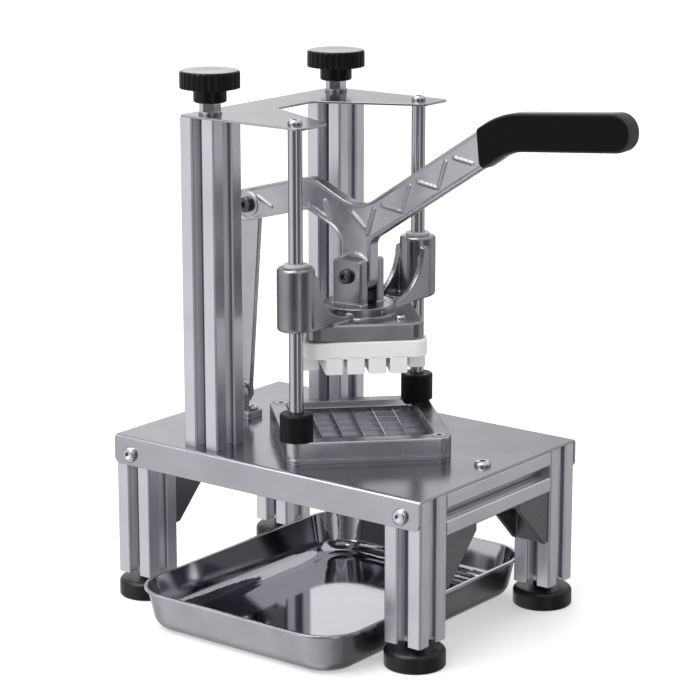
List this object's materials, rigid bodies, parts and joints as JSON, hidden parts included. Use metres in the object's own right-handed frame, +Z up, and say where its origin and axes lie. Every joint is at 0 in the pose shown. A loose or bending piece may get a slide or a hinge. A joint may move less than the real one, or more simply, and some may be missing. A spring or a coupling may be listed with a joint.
{
  "type": "vegetable dicer",
  "caption": "Lever vegetable dicer: slotted-profile stand, guided pusher with square teeth over a square blade grid, rear link, catch tray below.",
  "frame": {"origin": "on the bench, at the centre of the four levelling feet", "axes": "+Z up; the lever handle reaches towards -Y; the two guide rods stand side by side along X, left rod at -X"},
  "size_m": [0.2412, 0.3726, 0.3838],
  "materials": {
    "anodised_profile": "satin anodised, fine lengthwise extrusion lines",
    "brushed_sheet": "brushed stainless sheet with blurred reflections",
    "polished_tray": "bright polished stainless sheet",
    "die_cast": "grey die casting, slightly rough",
    "plated_steel": "bright zinc plate",
    "ground_rod": "hard chromed and ground",
    "dark_steel": "blackened bolts, nuts and studs",
    "blade_steel": "thin ground stainless blades",
    "frame_casting": "satin casting, tumbled",
    "carriage_casting": "polished casting with a dull shine",
    "bush_plastic": "pale bearing plastic",
    "pusher_plastic": "white food-grade plastic, softly glossy",
    "lever_casting": "satin casting with bright ribs",
    "grip_vinyl": "black dipped vinyl, glossy",
    "knob_plastic": "black moulded plastic",
    "foot_rubber": "black rubber-like plastic",
    "stopper_rubber": "black rubber"
  },
  "bodies": {
    "stand": {"base_plate": "brushed_sheet", "blade_clamp_plate": "frame_casting", "blade_frame": "frame_casting", "blade_frame_screws": "plated_steel", "blades_across": "blade_steel", "blades_along": "blade_steel", "bracket_screws": "plated_steel", "foot_pin_bolt": "dark_steel", "foot_pin_nut": "dark_steel", "front_rail": "anodised_profile", "guide_rod_left": "ground_rod", "guide_rod_right": "ground_rod", "gusset_front_left": "die_cast", "gusset_front_right": "die_cast", "gusset_rear_left": "die_cast", "gusset_rear_right": "die_cast", "gusset_screws": "plated_steel", "leg_front_left": "anodised_profile", "leg_front_right": "anodised_profile", "leg_rear_left": "anodised_profile", "leg_rear_right": "anodised_profile", "link_bracket": "frame_casting", "plate_screws": "plated_steel", "post_left": "anodised_profile", "post_right": "anodised_profile", "post_screws": "plated_steel", "rear_rail": "anodised_profile", "rod_screws": "plated_steel", "slot_nuts": "plated_steel", "stopper_left": "stopper_rubber", "stopper_right": "stopper_rubber", "top_plate": "brushed_sheet"},
    "carriage": {"carriage": "carriage_casting", "pusher_block": "pusher_plastic", "pusher_screws": "plated_steel", "clevis_bolt": "dark_steel", "clevis_nut": "dark_steel", "bush_lower_left": "bush_plastic", "bush_lower_right": "bush_plastic", "bush_upper_left": "bush_plastic", "bush_upper_right": "bush_plastic"},
    "lever": {"lever_arm": "lever_casting", "handle_grip": "grip_vinyl", "rear_pivot_bolt": "dark_steel", "rear_pivot_nut": "dark_steel"},
    "link": {"rear_link": "lever_casting"},
    "tray": {"tray": "polished_tray"},
    "knob_left_turning": {"knob_left": "knob_plastic", "knob_collar_left": "plated_steel"},
    "foot_front_left": {"foot_pad_front_left": "foot_rubber", "foot_stud_front_left": "dark_steel"},
    "foot_rear_left": {"foot_pad_rear_left": "foot_rubber", "foot_stud_rear_left": "dark_steel"},
    "knob_right_turning": {"knob_right": "knob_plastic", "knob_collar_right": "plated_steel"},
    "foot_front_right": {"foot_pad_front_right": "foot_rubber", "foot_stud_front_right": "dark_steel"},
    "foot_rear_right": {"foot_pad_rear_right": "foot_rubber", "foot_stud_rear_right": "dark_steel"}
  },
  "joints": [
    {"name": "carriage_slide", "type": "slide", "parent": "stand", "child": "carriage", "axis": [0, 0, 1], "range_m": [-0.0575, 0.04]},
    {"name": "lever_pivot", "type": "hinge", "parent": "carriage", "child": "lever", "pos_m": [0, -0.0125, 0.2405], "axis": [1, 0, 0], "range_deg": [-24, 34]},
    {"name": "link_pivot", "type": "hinge", "parent": "stand", "child": "link", "pos_m": [0, 0.0944, 0.138], "axis": [1, 0, 0], "range_deg": [-10, 14]},
    {"name": "tray_slide", "type": "slide", "parent": "stand", "child": "tray", "axis": [1, 0, 0], "range_m": [-0.2, 0.04]},
    {"name": "knob_left_turn", "type": "hinge", "parent": "stand", "child": "knob_left_turning", "pos_m": [-0.07, 0.0613, 0.36], "axis": [0, 0, 1], "continuous": true},
    {"name": "foot_front_left_turn", "type": "hinge", "parent": "stand", "child": "foot_front_left", "pos_m": [-0.0777, -0.119, 0.015], "axis": [0, 0, 1], "continuous": true},
    {"name": "foot_rear_left_turn", "type": "hinge", "parent": "stand", "child": "foot_rear_left", "pos_m": [-0.0777, 0.119, 0.015], "axis": [0, 0, 1], "continuous": true},
    {"name": "knob_right_turn", "type": "hinge", "parent": "stand", "child": "knob_right_turning", "pos_m": [0.07, 0.0613, 0.36], "axis": [0, 0, 1], "continuous": true},
    {"name": "foot_front_right_turn", "type": "hinge", "parent": "stand", "child": "foot_front_right", "pos_m": [0.0777, -0.119, 0.015], "axis": [0, 0, 1], "continuous": true},
    {"name": "foot_rear_right_turn", "type": "hinge", "parent": "stand", "child": "foot_rear_right", "pos_m": [0.0777, 0.119, 0.015], "axis": [0, 0, 1], "continuous": true}
  ],
  "couplings": [
    {"joint": "lever_pivot", "follows": "carriage_slide", "rad_per_m": -9.4248},
    {"joint": "link_pivot", "follows": "carriage_slide", "rad_per_m": -3.3161}
  ]
}
